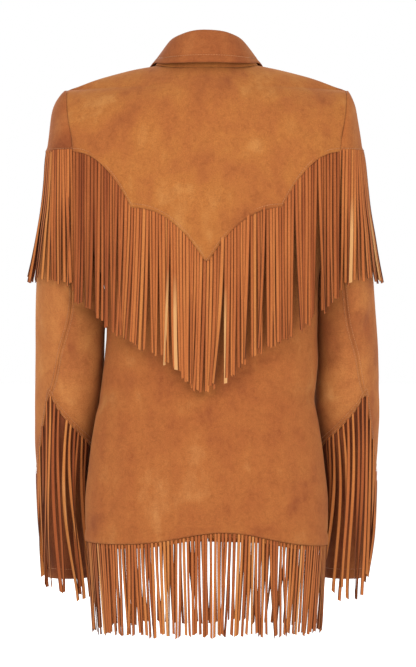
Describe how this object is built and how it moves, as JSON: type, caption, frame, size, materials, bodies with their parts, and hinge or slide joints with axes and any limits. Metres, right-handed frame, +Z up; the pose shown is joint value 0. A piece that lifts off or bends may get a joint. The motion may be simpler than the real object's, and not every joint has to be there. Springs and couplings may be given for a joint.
{
  "type": "fringed suede western jacket",
  "caption": "Hip-length tan suede jacket with a scalloped back yoke, a folded collar, and long fringe on yoke, sleeve caps, forearms and hem, hollow as worn.",
  "frame": {"origin": "middle of the neck base, level with the points where the shoulder seams reach the neck", "axes": "+Z up along the wearer's spine, +Y out of the back, +X to the wearer's left"},
  "size_m": [0.4922, 0.2431, 0.8378],
  "materials": {
    "suede": "napped, matt",
    "fringe": "napped, matt",
    "horn": "polished horn"
  },
  "bodies": {
    "root": {"back_yoke": "suede", "back_body": "suede", "front_left": "suede", "front_right": "suede", "collar_stand": "suede", "collar_leaf": "suede", "sleeve_cap_left": "suede", "sleeve_cap_right": "suede", "upper_sleeve_left": "suede", "upper_sleeve_right": "suede", "under_sleeve_left": "suede", "under_sleeve_right": "suede", "lower_sleeve_left": "suede", "lower_sleeve_right": "suede", "yoke_fringe": "fringe", "cap_fringe_left": "fringe", "cap_fringe_right": "fringe", "sleeve_fringe_left": "fringe", "sleeve_fringe_right": "fringe", "hem_fringe_back": "fringe", "hem_fringe_front_left": "fringe", "hem_fringe_front_right": "fringe", "button_1": "horn", "button_2": "horn", "button_3": "horn", "button_4": "horn", "button_5": "horn"}
  },
  "joints": []
}
